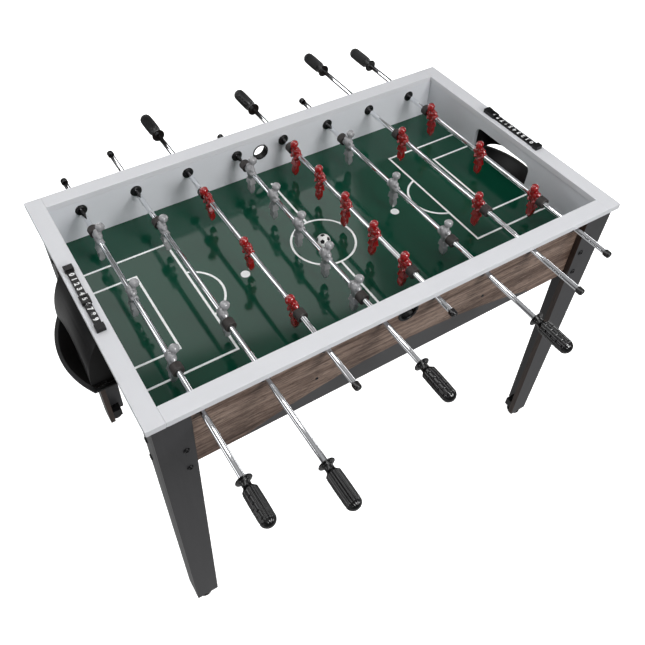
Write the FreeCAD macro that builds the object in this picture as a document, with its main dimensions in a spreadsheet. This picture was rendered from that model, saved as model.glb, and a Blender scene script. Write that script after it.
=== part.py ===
import FreeCAD, Part
import os
import re

import Sketcher

# Foosball table, millimetres. Origin on the floor under the centre of the table.
# +X runs along the table, +Y across it (along the rods), +Z up.

DIMENSIONS = {
    # table top and cabinet
    "table_length": 1219.2,
    "table_width": 722.0,
    "table_height": 900.0,
    "rail_thick": 15.0,
    "end_rail_width": 40.5,
    "side_rail_width": 41.8,
    "side_wall_thick": 18.3,
    "end_wall_thick": 12.0,
    "end_wall_setback": 2.6,
    "panel_bottom": 682.0,
    # playing field and the wood below it
    "field_top": 776.8,
    "field_thick": 5.0,
    "beam_station": 231.0,
    "beam_wide": 30.0,
    "beam_deep": 36.0,
    "cleat_wide": 18.0,
    "cleat_half_span": 250.0,
    "goal_half_width": 105.0,
    "goal_tall": 78.0,
    "goal_corner": 20.0,
    # legs: two tapered boards each
    "leg_thick": 15.0,
    "leg_bottom": 16.0,
    "leg_top_wide": 80.9,
    "leg_bottom_wide": 58.7,
    "bolt_station_x": 541.0,
    "bolt_station_y": 289.0,
    "bolt_row_high": 764.0,
    "bolt_row_low": 696.0,
    "bolt_head_radius": 7.5,
    "bolt_head_thick": 3.0,
    "bolt_radius": 3.0,
    "bolt_hole_radius": 3.2,
    "nut_radius": 6.5,
    "nut_thick": 5.0,
    "screw_head_radius": 4.2,
    "screw_head_thick": 1.5,
    "screw_radius": 2.0,
    "screw_hole_radius": 2.1,
    "screw_height": 764.0,
    "screw_bite": 20.0,
    # levelling feet and their corner brackets
    "foot_station_x": 572.0,
    "foot_station_y": 332.0,
    "foot_radius": 20.0,
    "foot_pad_thick": 6.0,
    "foot_dome_radius": 11.0,
    "foot_dome_gap": 3.0,
    "stud_radius": 4.0,
    "stud_bore_radius": 4.08,
    "stud_long": 26.0,
    "bracket_side": 30.0,
    "bracket_tall": 30.0,
    # rods
    "rod_height": 859.2,
    "rod_pitch": 141.06,
    "rod_radius": 6.35,
    "rod_bore_radius": 5.15,
    "bush_bore_radius": 6.43,
    "bush_radius": 9.8,
    "bush_hole_radius": 10.0,
    "bush_flange_radius": 15.0,
    "bush_flange_thick": 3.0,
    "bumper_radius": 13.5,
    "bumper_long": 20.0,
    "bumper_bore_radius": 6.43,
    "bumper_gap": 26.5,
    "stop_margin": 1.0,
    "three_men_reach": 205.0,
    "two_men_reach": 156.0,
    "five_men_reach": 240.0,
    "guard_station": 436.0,
    "tip_station": 378.0,
    # handle and tip cap
    "guard_radius": 17.5,
    "guard_thick": 3.0,
    "neck_radius": 9.0,
    "neck_long": 15.0,
    "neck_flare": 4.0,
    "grip_radius": 16.0,
    "grip_long": 83.0,
    "grip_rounding": 7.0,
    "rod_in_handle": 60.0,
    "cap_radius": 8.5,
    "cap_long": 15.0,
    "cap_end_thick": 3.0,
    # figures, measured from the rod's axis
    "head_radius": 11.3,
    "head_height": 28.5,
    "head_forward": 6.0,
    "neck_figure_radius": 5.5,
    "neck_figure_sink": 4.0,
    "chest_wide": 29.0,
    "chest_deep": 19.0,
    "chest_top": 19.0,
    "chest_bottom": 22.0,
    "leg_wide": 19.0,
    "leg_deep": 12.0,
    "shoe_deep": 20.0,
    "shoe_tall": 14.0,
    "figure_reach": 69.5,
    "figure_bore_radius": 6.37,
    # ball
    "ball_radius": 17.5,
    "ball_x": -9.5,
    "ball_y": -13.6,
    "ball_gap": 0.2,
    # ball entry sleeves
    "entry_height": 845.0,
    "entry_bore_radius": 19.5,
    "entry_barrel_radius": 22.5,
    "entry_hole_radius": 22.7,
    "entry_flange_radius": 27.0,
    "entry_flange_thick": 2.5,
    "entry_stand_in": 2.0,
    # ball returns: a bowl under a hood on each end
    "return_rim_height": 755.0,
    "return_half_width": 123.0,
    "return_corner_x": 645.0,
    "return_corner_share": 0.8,
    "return_front_x": 680.0,
    "return_depth": 38.0,
    "return_slope": 31.0,
    "return_lip_wide": 8.0,
    "return_lip_thick": 5.0,
    "return_wall": 3.0,
    "hood_half_width": 112.0,
    "hood_radius": 216.0,
    "hood_axis_x": 430.0,
    "hood_axis_height": 765.0,
    "hood_corner_height": 762.0,
    "hood_arch_height": 803.0,
    "hood_mouth_tall": 200.0,
    # score counters on the end rails
    "track_station": 590.8,
    "track_wide": 16.0,
    "track_half_long": 102.5,
    "track_thick": 6.0,
    "track_end_wide": 20.5,
    "track_end_long": 16.0,
    "track_end_thick": 11.0,
    "marker_wide": 21.0,
    "marker_long": 24.0,
    "marker_thick": 9.2,
    "marker_gap": 0.4,
    "marker_window_wide": 11.0,
    "marker_window_long": 15.0,
    "digit_pitch": 16.45,
}

doc = FreeCAD.newDocument("foosball_table")
sheet = doc.addObject("Spreadsheet::Sheet", "dims")
for row, (alias, number) in enumerate(DIMENSIONS.items(), start=1):
    sheet.set(f"A{row}", alias)
    sheet.set(f"B{row}", str(number))
    sheet.setAlias(f"B{row}", alias)
doc.recompute()

# Places that several pieces share, as formulas of the sheet's cells.
RAIL_UNDERSIDE = "(table_height - rail_thick)"
WELL_X = "(table_length / 2 - end_rail_width)"
WELL_Y = "(table_width / 2 - side_rail_width)"
END_IN = f"({WELL_X} + end_wall_setback)"
END_OUT = f"({END_IN} + end_wall_thick)"
SIDE_OUT = f"({WELL_Y} + side_wall_thick)"
LEG_X = f"({END_OUT} + leg_thick)"
LEG_Y = f"({SIDE_OUT} + leg_thick)"
FIELD_UNDER = "(field_top - field_thick)"

# Rods from the left end: men, side of the handle, slide and turn at rest.
RODS = [
    ("three_men_reach", 3, -1, 0.0, -5.0),
    ("two_men_reach", 2, -1, 0.0, 3.0),
    ("three_men_reach", 3, 1, -5.0, 4.0),
    ("five_men_reach", 5, -1, 4.0, -1.0),
    ("five_men_reach", 5, 1, 10.0, -2.5),
    ("three_men_reach", 3, -1, 8.0, 5.0),
    ("two_men_reach", 2, 1, 0.0, 0.0),
    ("three_men_reach", 3, 1, 2.0, 4.0),
]
GREY_TEAM = (1, 2, 4, 6)

AXIS_TURN = {
    "X": FreeCAD.Rotation(FreeCAD.Vector(0, 1, 0), 90),
    "Y": FreeCAD.Rotation(FreeCAD.Vector(1, 0, 0), -90),
    "Z": FreeCAD.Rotation(),
}
NO_TURN = FreeCAD.Rotation()

# Halfway between the fourth and fifth of eight rods, and between digits 4 and 5 of ten.
ROD_MIDDLE = 4.5
DIGIT_MIDDLE = 4.5
# How far a cutter runs past a face, and how level an edge is to count as flat.
OVERCUT = 0.01
LEVEL = 0.01

parts = []


def cell(alias):
    """The number in one cell of the sheet."""
    return float(sheet.get(alias))


def formula(text):
    """A formula of cell names, written the way the document's expressions want it."""
    return re.sub(r"[a-z]\w+", lambda word: "dims." + word.group(0), str(text))


def bind(thing, **formulas):
    """Bind properties of a document object to formulas."""
    for name, text in formulas.items():
        thing.setExpression(name, formula(text))


def put(thing, at, turn=NO_TURN):
    """Place an object at three formulas, turned by a rotation."""
    thing.Placement = FreeCAD.Placement(FreeCAD.Vector(), turn)
    for letter, text in zip("xyz", at):
        thing.setExpression(f"Placement.Base.{letter}", formula(text))
    return thing


def board(name, x, y, z):
    """A rectangular board between pairs of formulas."""
    thing = doc.addObject("Part::Box", name)
    for side, (low, high) in zip(("Length", "Width", "Height"), (x, y, z)):
        thing.setExpression(side, formula(f"({high}) - ({low})"))
    return put(thing, (x[0], y[0], z[0]))


def cylinder(name, radius, length, at=(0, 0, 0), axis="Z"):
    """A cylinder that starts at a point and runs along +axis."""
    thing = doc.addObject("Part::Cylinder", name)
    bind(thing, Radius=radius, Height=length)
    return put(thing, at, AXIS_TURN[axis])


def group(name, things):
    """Separate solids kept together under one name."""
    thing = doc.addObject("Part::Compound", name)
    thing.Links = things
    return thing


def fuse(name, things):
    thing = doc.addObject("Part::MultiFuse", name)
    thing.Shapes = things
    return thing


def cut(name, base, tools):
    thing = doc.addObject("Part::Cut", name)
    thing.Base = base
    thing.Tool = group(name + "_tools", tools) if len(tools) > 1 else tools[0]
    return thing


def copy_of(source, name, at, turn=NO_TURN):
    """One more of a piece that is already modelled, in another place."""
    link = doc.addObject("App::Link", name)
    link.setLink(source)
    return put(link, at, turn)


def keep(thing, label):
    """Register a finished sub-part under its node name."""
    thing.Label = label
    parts.append(thing)
    return thing


def outline_body(name, plane_role, points):
    """A body with one closed sketch; each point is a pair of formulas from the origin."""
    body = doc.addObject("PartDesign::Body", name)
    sketch = body.newObject("Sketcher::SketchObject", name + "_outline")
    plane = next(f for f in body.Origin.OriginFeatures if f.Role == plane_role)
    sketch.AttachmentSupport = [(plane, "")]
    sketch.MapMode = "FlatFace"
    places = [FreeCAD.Vector(work_out(a), work_out(b), 0) for a, b in points]
    count = len(points)
    for i in range(count):
        sketch.addGeometry(Part.LineSegment(places[i], places[(i + 1) % count]), False)
    for i in range(count):
        sketch.addConstraint(Sketcher.Constraint("Coincident", i, 2, (i + 1) % count, 1))
    for i, (pair, place) in enumerate(zip(points, places)):
        for kind, text, start in zip(("DistanceX", "DistanceY"), pair, (place.x, place.y)):
            number = sketch.addConstraint(Sketcher.Constraint(kind, -1, 1, i, 1, start))
            sketch.setExpression(f"Constraints[{number}]", formula(text))
    return body, sketch


def work_out(text):
    """The present value of a formula, for a sketch's starting geometry."""
    probe = doc.addObject("App::FeaturePython", "probe")
    probe.addProperty("App::PropertyFloat", "Value")
    probe.setExpression("Value", formula(text))
    probe.recompute()
    number = probe.Value
    doc.removeObject(probe.Name)
    return number


def padded(name, plane_role, points, length, at):
    """A closed outline padded to a thickness."""
    body, sketch = outline_body(name, plane_role, points)
    pad = body.newObject("PartDesign::Pad", name + "_pad")
    pad.Profile = sketch
    pad.setExpression("Length", formula(length))
    return put(body, at)


def turned(name, points):
    """A closed outline in the XZ plane, turned a full circle about Z."""
    body, sketch = outline_body(name, "XZ_Plane", points)
    spin = body.newObject("PartDesign::Revolution", name + "_turn")
    spin.Profile = sketch
    spin.ReferenceAxis = (sketch, ["V_Axis"])
    spin.Angle = 360
    return body, spin


# ---------------------------------------------------------------- rod stations

def rod_x(k):
    return f"({k - ROD_MIDDLE} * rod_pitch)"


def travel(reach):
    """How far a rod slides each way from the middle before a bumper meets its bush."""
    return f"({WELL_Y} - bush_flange_thick - {reach} - bumper_gap - bumper_long / 2 - stop_margin)"


# ---------------------------------------------------------------- cabinet

def side_panel(side, sign):
    """Side wall with eight rod holes, the ball entry hole and its bolt and screw holes."""
    low, high = (f"-{SIDE_OUT}", f"-{WELL_Y}") if sign < 0 else (WELL_Y, SIDE_OUT)
    name = f"side_panel_{side}"
    blank = board(name + "_blank", (f"-{END_OUT}", END_OUT), (low, high), ("panel_bottom", RAIL_UNDERSIDE))
    holes = [
        cylinder(f"{name}_rod_hole_{k}", "bush_hole_radius", "side_wall_thick",
                 (rod_x(k), low, "rod_height"), "Y")
        for k in range(1, 9)
    ]
    holes.append(cylinder(name + "_entry_hole", "entry_hole_radius", "side_wall_thick",
                          (0, low, "entry_height"), "Y"))
    for end in (-1, 1):
        for row in ("low", "high"):
            holes.append(cylinder(f"{name}_bolt_hole_{row}", "bolt_hole_radius", "side_wall_thick",
                                  (f"{end} * bolt_station_x", low, f"bolt_row_{row}"), "Y"))
        holes.append(cylinder(name + "_screw_hole", "screw_hole_radius", "side_wall_thick",
                              (f"{end} * beam_station", low, "screw_height"), "Y"))
    keep(cut(name + "_cut", blank, holes), name)


def end_panel(side, sign):
    """End wall with the goal mouth, its upper corners rounded, and its bolt holes."""
    low, high = (f"-{END_OUT}", f"-{END_IN}") if sign < 0 else (END_IN, END_OUT)
    name = f"end_panel_{side}"
    blank = board(name + "_blank", (low, high), (f"-{WELL_Y}", WELL_Y), ("panel_bottom", RAIL_UNDERSIDE))
    corner_y = "(goal_half_width - goal_corner)"
    corner_z = "(field_top + goal_tall - goal_corner)"
    tools = [
        board(name + "_mouth_wide", (low, high), ("-goal_half_width", "goal_half_width"),
              ("field_top", corner_z)),
        board(name + "_mouth_tall", (low, high), (f"-{corner_y}", corner_y),
              ("field_top", "field_top + goal_tall")),
    ]
    tools += [
        cylinder(name + "_mouth_corner", "goal_corner", "end_wall_thick",
                 (low, f"{edge} * {corner_y}", corner_z), "X")
        for edge in (-1, 1)
    ]
    mouth = fuse(name + "_mouth", tools)
    holes = [
        cylinder(f"{name}_bolt_hole_{row}", "bolt_hole_radius", "end_wall_thick",
                 (low, f"{edge} * bolt_station_y", f"bolt_row_{row}"), "X")
        for edge in (-1, 1) for row in ("low", "high")
    ]
    keep(cut(name + "_cut", blank, [mouth] + holes), name)


def rails():
    """Top rails: the end rails run the full width, the side rails fit between them."""
    height = (RAIL_UNDERSIDE, "table_height")
    strips = [
        board(f"side_rail_{side}", (f"-{WELL_X}", WELL_X), y, height)
        for side, y in (("near", ("-table_width / 2", f"-{WELL_Y}")), ("far", (WELL_Y, "table_width / 2")))
    ]
    keep(group("side_rail_pair", strips), "side_rails")
    full_width = ("-table_width / 2", "table_width / 2")
    keep(board("left_rail", ("-table_length / 2", f"-{WELL_X}"), full_width, height), "end_rail_left")
    keep(board("right_rail", (WELL_X, "table_length / 2"), full_width, height), "end_rail_right")


def field():
    """Playing field with the beams and cleats that carry it."""
    keep(board("field_board", (f"-{END_IN}", END_IN), (f"-{WELL_Y}", WELL_Y), (FIELD_UNDER, "field_top")),
         "playfield")
    under = (f"{FIELD_UNDER} - beam_deep", FIELD_UNDER)
    supports = []
    for end in (-1, 1):
        middle = f"{end} * beam_station"
        beam = board("beam", (f"{middle} - beam_wide / 2", f"{middle} + beam_wide / 2"),
                     (f"-{WELL_Y}", WELL_Y), under)
        bites = [
            cylinder("screw_bite_near", "screw_hole_radius", "screw_bite",
                     (middle, f"-{WELL_Y}", "screw_height"), "Y"),
            cylinder("screw_bite_far", "screw_hole_radius", "screw_bite",
                     (middle, f"{WELL_Y} - screw_bite", "screw_height"), "Y"),
        ]
        supports.append(cut("bored_beam", beam, bites))
        edge = (f"-{END_IN}", f"-{END_IN} + cleat_wide") if end < 0 else (f"{END_IN} - cleat_wide", END_IN)
        supports.append(board("cleat", edge, ("-cleat_half_span", "cleat_half_span"), under))
    keep(group("supports", supports), "field_supports")


# ---------------------------------------------------------------- legs and fasteners

def leg(name, end, side):
    """Corner leg: a side board and an end board, both tapering to the foot."""
    def taper(outer, direction):
        return [
            (f"{direction} * {outer}", "leg_bottom"),
            (f"{direction} * {outer}", RAIL_UNDERSIDE),
            (f"{direction} * ({outer} - leg_top_wide)", RAIL_UNDERSIDE),
            (f"{direction} * ({outer} - leg_bottom_wide)", "leg_bottom"),
        ]

    side_face = f"-{SIDE_OUT}" if side < 0 else LEG_Y
    side_board = padded(name + "_side_board", "XZ_Plane", taper(LEG_X, end), "leg_thick", (0, side_face, 0))
    end_face = f"-{LEG_X}" if end < 0 else END_OUT
    end_outline = taper(LEG_Y, side)
    end_outline[0] = (f"{side} * {SIDE_OUT}", "leg_bottom")
    end_outline[1] = (f"{side} * {SIDE_OUT}", RAIL_UNDERSIDE)
    end_board = padded(name + "_end_board", "YZ_Plane", end_outline, "leg_thick", (end_face, 0, 0))
    side_start = f"-{LEG_Y}" if side < 0 else SIDE_OUT
    side_holes = [
        cylinder(f"{name}_side_hole_{row}", "bolt_hole_radius", "leg_thick",
                 (f"{end} * bolt_station_x", side_start, f"bolt_row_{row}"), "Y")
        for row in ("low", "high")
    ]
    end_holes = [
        cylinder(f"{name}_end_hole_{row}", "bolt_hole_radius", "leg_thick",
                 (end_face, f"{side} * bolt_station_y", f"bolt_row_{row}"), "X")
        for row in ("low", "high")
    ]
    keep(group(name, [cut(name + "_side", side_board, side_holes), cut(name + "_end", end_board, end_holes)]),
         name)


def threaded_fastener(name, head_radius, head_thick, shank_radius, shank_long):
    """Head below the origin plane, shank above it, along Z."""
    head = cylinder(name + "_head", head_radius, head_thick, (0, 0, f"-{head_thick}"))
    shank = cylinder(name + "_shank", shank_radius, shank_long)
    return fuse(name, [head, shank])


def fasteners():
    """Leg bolts with their nuts inside the cabinet, and the beam screws."""
    nut = cut("nut", cylinder("nut_blank", "nut_radius", "nut_thick"),
              [cylinder("nut_thread", "bolt_hole_radius", "nut_thick")])
    long_bolt = threaded_fastener("long_bolt", "bolt_head_radius", "bolt_head_thick", "bolt_radius",
                                  "leg_thick + side_wall_thick + nut_thick")
    short_bolt = threaded_fastener("short_bolt", "bolt_head_radius", "bolt_head_thick", "bolt_radius",
                                   "leg_thick + end_wall_thick + nut_thick")
    screw = threaded_fastener("screw", "screw_head_radius", "screw_head_thick", "screw_radius",
                              "side_wall_thick + screw_bite")
    inward_y = {-1: AXIS_TURN["Y"], 1: FreeCAD.Rotation(FreeCAD.Vector(1, 0, 0), 90)}
    inward_x = {-1: AXIS_TURN["X"], 1: FreeCAD.Rotation(FreeCAD.Vector(0, 1, 0), -90)}
    pieces = []
    for end in (-1, 1):
        for side in (-1, 1):
            for row in ("low", "high"):
                at_y = (f"{end} * bolt_station_x", f"{side} * {LEG_Y}", f"bolt_row_{row}")
                in_y = (f"{end} * bolt_station_x", f"{side} * {WELL_Y}", f"bolt_row_{row}")
                at_x = (f"{end} * {LEG_X}", f"{side} * bolt_station_y", f"bolt_row_{row}")
                in_x = (f"{end} * {END_IN}", f"{side} * bolt_station_y", f"bolt_row_{row}")
                pieces += [
                    copy_of(long_bolt, "side_bolt", at_y, inward_y[side]),
                    copy_of(nut, "side_nut", in_y, inward_y[side]),
                    copy_of(short_bolt, "end_bolt", at_x, inward_x[end]),
                    copy_of(nut, "end_nut", in_x, inward_x[end]),
                ]
            at = (f"{end} * beam_station", f"{side} * {SIDE_OUT}", "screw_height")
            pieces.append(copy_of(screw, "beam_screw", at, inward_y[side]))
    keep(group("fastener_set", pieces), "cabinet_fasteners")


def feet():
    """Corner brackets in the legs and the levelling feet that screw into them."""
    foot_profile = [
        (0, 0),
        ("foot_radius", 0),
        ("foot_radius", "foot_pad_thick"),
        ("foot_dome_radius", "leg_bottom - foot_dome_gap"),
        ("foot_dome_radius", "leg_bottom"),
        ("stud_radius", "leg_bottom"),
        ("stud_radius", "leg_bottom + stud_long"),
        (0, "leg_bottom + stud_long"),
    ]
    brackets = []
    for x_word, end in (("left", -1), ("right", 1)):
        for y_word, side in (("near", -1), ("far", 1)):
            x = (f"{end} * {END_OUT}", f"{end} * ({END_OUT} - bracket_side)")
            y = (f"{side} * {SIDE_OUT}", f"{side} * ({SIDE_OUT} - bracket_side)")
            block = board("bracket_block", x if end < 0 else x[::-1], y if side < 0 else y[::-1],
                          ("leg_bottom", "leg_bottom + bracket_tall"))
            bore = cylinder("bracket_bore", "stud_bore_radius", "bracket_tall",
                            (f"{end} * foot_station_x", f"{side} * foot_station_y", "leg_bottom"))
            brackets.append(cut("bracket", block, [bore]))
            foot, _ = turned(f"foot_{y_word}_{x_word}", foot_profile)
            put(foot, (f"{end} * foot_station_x", f"{side} * foot_station_y", 0))
            keep(foot, f"leveller_{y_word}_{x_word}")
    keep(group("bracket_set", brackets), "leg_brackets")


# ---------------------------------------------------------------- rods

def rod_bushings():
    """Bush in every rod hole: a barrel with a flange on each face of the wall."""
    barrel = cylinder("bush_barrel", "bush_radius", "side_wall_thick")
    inner_face = (0, 0, "-bush_flange_thick")
    outer_face = (0, 0, "side_wall_thick")
    inner = cylinder("bush_inner_flange", "bush_flange_radius", "bush_flange_thick", inner_face)
    outer = cylinder("bush_outer_flange", "bush_flange_radius", "bush_flange_thick", outer_face)
    bore = cylinder("bush_bore", "bush_bore_radius", "side_wall_thick + 2 * bush_flange_thick", inner_face)
    bush = cut("bush", fuse("bush_blank", [barrel, inner, outer]), [bore])
    copies = []
    for k in range(1, 9):
        for start in (f"-{SIDE_OUT}", WELL_Y):
            copies.append(copy_of(bush, "bush_copy", (rod_x(k), start, "rod_height"), AXIS_TURN["Y"]))
    keep(group("bush_set", copies), "rod_bushings")


def bumper():
    """Rubber ring that stops the rod against its bush, centred on the origin, along Z."""
    half = "(bumper_long / 2)"
    return cut("bumper", cylinder("bumper_blank", "bumper_radius", "bumper_long", (0, 0, f"-{half}")),
               [cylinder("bumper_bore", "bumper_bore_radius", "bumper_long", (0, 0, f"-{half}"))])


def figure():
    """Player: head, neck, chest clamped on the rod, legs and shoe; it faces +X, rod along Y."""
    head = doc.addObject("Part::Sphere", "figure_head")
    bind(head, Radius="head_radius")
    put(head, ("head_forward", 0, "head_height"))
    pieces = [
        head,
        cylinder("figure_neck", "neck_figure_radius", "head_height - chest_top + neck_figure_sink",
                 ("head_forward / 2", 0, "chest_top - neck_figure_sink")),
        board("figure_chest", ("-chest_deep / 2", "chest_deep / 2"), ("-chest_wide / 2", "chest_wide / 2"),
              ("-chest_bottom", "chest_top")),
        board("figure_legs", ("-leg_deep / 2", "leg_deep / 2"), ("-leg_wide / 2", "leg_wide / 2"),
              ("-figure_reach + 1", "-chest_bottom + 1")),
        board("figure_shoe", ("-shoe_deep / 2", "shoe_deep / 2"), ("-leg_wide / 2", "leg_wide / 2"),
              ("-figure_reach + 1", "-figure_reach + 1 + shoe_tall")),
    ]
    bore = cylinder("figure_bore", "figure_bore_radius", "chest_wide", (0, "-chest_wide / 2", 0), "Y")
    reach = cylinder("figure_sweep", "figure_reach + 0.5", "chest_wide", (0, "-chest_wide / 2", 0), "Y")
    trimmed = doc.addObject("Part::Common", "figure_trimmed")
    trimmed.Base = fuse("figure_blank", pieces)
    trimmed.Tool = reach
    return cut("figure", trimmed, [bore])


def handle():
    """Grip with a guard and a blind hole for the rod; guard at the origin, grip along +Z."""
    total = "(guard_thick + neck_long + grip_long)"
    profile = [
        (0, 0),
        ("guard_radius", 0),
        ("guard_radius", "guard_thick"),
        ("neck_radius", "guard_thick"),
        ("neck_radius", "guard_thick + neck_long - neck_flare"),
        ("grip_radius", "guard_thick + neck_long + neck_flare"),
        ("grip_radius", total),
        (0, total),
    ]
    body, spin = turned("handle_grip", profile)
    doc.recompute()
    rim = max(
        (i for i, edge in enumerate(spin.Shape.Edges, start=1)
         if abs(edge.BoundBox.ZMax - edge.BoundBox.ZMin) < LEVEL),
        key=lambda i: (spin.Shape.Edges[i - 1].BoundBox.ZMax, spin.Shape.Edges[i - 1].BoundBox.XLength),
    )
    rounding = body.newObject("PartDesign::Fillet", "handle_rounding")
    rounding.Base = (spin, [f"Edge{rim}"])
    rounding.setExpression("Radius", formula("grip_rounding"))
    return cut("handle", body, [cylinder("handle_bore", "rod_radius", "rod_in_handle")])


def tip_cap():
    """Cap over the plain end of a rod; it starts at the origin and runs along +Z."""
    return cut("tip_cap", cylinder("tip_blank", "cap_radius", "cap_long"),
               [cylinder("tip_bore", "rod_radius", "cap_long - cap_end_thick")])


def rod_set():
    """Eight rods, each with its tube, men, handle with tip cap, and pair of bumpers."""
    ring, player, grip, cap = bumper(), figure(), handle(), tip_cap()
    for k, (reach, men, handle_side, slid, turn) in enumerate(RODS, start=1):
        x = rod_x(k)
        guard = f"(guard_station + {travel(reach)})"
        tip = f"(tip_station + {travel(reach)})"
        out = AXIS_TURN["Y"]
        back = FreeCAD.Rotation(FreeCAD.Vector(1, 0, 0), 90)
        low = f"{slid} - {guard} - rod_in_handle" if handle_side < 0 else f"{slid} - {tip} + cap_end_thick"
        long = f"{guard} + rod_in_handle + {tip} - cap_end_thick"
        tube = cut(f"tube_{k}",
                   cylinder(f"tube_{k}_outside", "rod_radius", long, (x, low, "rod_height"), "Y"),
                   [cylinder(f"tube_{k}_inside", "rod_bore_radius", long, (x, low, "rod_height"), "Y")])
        keep(tube, f"rod_{k}_tube")

        facing = 0 if k in GREY_TEAM else 180
        lean = FreeCAD.Rotation(FreeCAD.Vector(0, 1, 0), -turn)
        stance = lean.multiply(FreeCAD.Rotation(FreeCAD.Vector(0, 0, 1), facing))
        step = f"(2 * {reach} / {men - 1})"
        team = [
            copy_of(player, f"man_{k}", (x, f"{slid} - {reach} + {i} * {step}", "rod_height"), stance)
            for i in range(men)
        ]
        keep(group(f"team_{k}", team), f"rod_{k}_men")

        ends = [
            copy_of(grip, f"grip_{k}", (x, f"{slid} + {handle_side} * {guard}", "rod_height"),
                    out if handle_side > 0 else back),
            copy_of(cap, f"cap_{k}", (x, f"{slid} - {handle_side} * ({tip} - cap_long)", "rod_height"),
                    back if handle_side > 0 else out),
        ]
        keep(group(f"ends_{k}", ends), f"rod_{k}_handle")

        rings = [
            copy_of(ring, f"ring_{k}", (x, f"{slid} + {end} * ({reach} + bumper_gap)", "rod_height"), out)
            for end in (-1, 1)
        ]
        keep(group(f"rings_{k}", rings), f"rod_{k}_bumpers")


# ---------------------------------------------------------------- ball, entries, returns

def ball():
    thing = doc.addObject("Part::Sphere", "ball_sphere")
    bind(thing, Radius="ball_radius")
    keep(put(thing, ("ball_x", "ball_y", "field_top + ball_radius + ball_gap")), "ball")


def ball_entries():
    """Sleeve through each side wall, where the ball is dropped in."""
    outer_face = (0, 0, "-entry_flange_thick")
    barrel_long = "side_wall_thick + entry_stand_in"
    flange = cylinder("entry_flange", "entry_flange_radius", "entry_flange_thick", outer_face)
    barrel = cylinder("entry_barrel", "entry_barrel_radius", barrel_long)
    bore = cylinder("entry_bore", "entry_bore_radius", barrel_long + " + entry_flange_thick", outer_face)
    sleeve = cut("entry_sleeve", fuse("entry_blank", [flange, barrel]), [bore])
    copies = [
        copy_of(sleeve, "entry_near", (0, f"-{SIDE_OUT}", "entry_height"), AXIS_TURN["Y"]),
        copy_of(sleeve, "entry_far", (0, SIDE_OUT, "entry_height"), AXIS_TURN["Y"].inverted()),
    ]
    keep(group("entry_set", copies), "ball_entry_sleeves")


def bowl_outline(inset, height, slope=0.0):
    """Plan outline of the return bowl: straight flanks and a bowed front, wall at the back."""
    back = work_out(END_OUT)
    half = cell("return_half_width") - inset - slope
    corner = cell("return_corner_x") - (inset + slope) * cell("return_corner_share")
    front = cell("return_front_x") - inset - slope
    near, far = FreeCAD.Vector(corner, -half, height), FreeCAD.Vector(corner, half, height)
    bow = Part.Arc(near, FreeCAD.Vector(front, 0, height), far).toShape()
    corners = [FreeCAD.Vector(back, half, height), FreeCAD.Vector(back, -half, height)]
    flanks = [Part.makeLine(far, corners[0]), Part.makeLine(*corners), Part.makeLine(corners[1], near)]
    return Part.Wire([bow] + flanks)


def lofted_bowl(inset, top, bottom, slope):
    """Solid between the rim's outline and the smaller outline of the bowl's floor."""
    return Part.makeLoft([bowl_outline(inset, top), bowl_outline(inset, bottom, slope)], True, True)


def hood_profile(offset):
    """Side view of the hood: bowed front from the rail down to the bowl."""
    back = work_out(END_OUT)
    top, floor = work_out(RAIL_UNDERSIDE), cell("return_rim_height")
    radius = cell("hood_radius") - offset
    axis_x, axis_z = cell("hood_axis_x"), cell("hood_axis_height")

    def on_front(height):
        return FreeCAD.Vector(axis_x + (radius**2 - (height - axis_z) ** 2) ** 0.5, 0, height)

    front = Part.Arc(on_front(floor), on_front((floor + top) / 2), on_front(top)).toShape()
    far_top, far_floor = FreeCAD.Vector(back, 0, top), FreeCAD.Vector(back, 0, floor)
    return Part.Wire([
        front,
        Part.makeLine(on_front(top), far_top),
        Part.makeLine(far_top, far_floor),
        Part.makeLine(far_floor, on_front(floor)),
    ])


def hood_block(offset):
    half = cell("hood_half_width") - offset
    face = Part.Face(hood_profile(offset))
    face.translate(FreeCAD.Vector(0, -half, 0))
    return face.extrude(FreeCAD.Vector(0, 2 * half, 0))


def arch_cutter():
    """Opening under the hood's bowed lower edge, where a hand reaches the ball."""
    half = cell("hood_half_width") + 1
    low, start, crown = cell("return_rim_height") - 1, cell("hood_corner_height"), cell("hood_arch_height")
    x = cell("return_corner_x") - cell("return_slope")
    left, right = FreeCAD.Vector(x, -half, start), FreeCAD.Vector(x, half, start)
    arch = Part.Arc(left, FreeCAD.Vector(x, 0, crown), right).toShape()
    feet_of_arch = [FreeCAD.Vector(x, half, low), FreeCAD.Vector(x, -half, low)]
    legs_of_arch = [Part.makeLine(right, feet_of_arch[0]), Part.makeLine(*feet_of_arch),
                    Part.makeLine(feet_of_arch[1], left)]
    outward = FreeCAD.Vector(cell("return_front_x") - x, 0, 0)
    return Part.Face(Part.Wire([arch] + legs_of_arch)).extrude(outward)


def return_shape():
    """One moulding for the right end: a lipped bowl, with the hood standing on its rim."""
    rim, wall, depth = cell("return_rim_height"), cell("return_wall"), cell("return_depth")
    lip_wide, slope = cell("return_lip_wide"), cell("return_slope")
    up = FreeCAD.Vector(0, 0, 1)
    lip = Part.Face(bowl_outline(0, rim - cell("return_lip_thick"))).extrude(up * cell("return_lip_thick"))
    shell = lofted_bowl(lip_wide - wall, rim, rim - depth, slope)
    inside = lofted_bowl(lip_wide, rim + OVERCUT, rim - depth + wall, slope)
    hood = hood_block(0).cut(hood_block(wall)).cut(arch_cutter())
    mouth_half = cell("hood_half_width") - wall
    mouth_corner = FreeCAD.Vector(work_out(END_OUT) - OVERCUT, -mouth_half, rim)
    back_open = Part.makeBox(wall + 2 * OVERCUT, 2 * mouth_half, cell("hood_mouth_tall"), mouth_corner)
    hood = hood.cut(hood_block(wall).translated(up * -wall))
    return lip.fuse([shell]).cut(inside).fuse([hood]).cut(back_open).removeSplitter()


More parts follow.
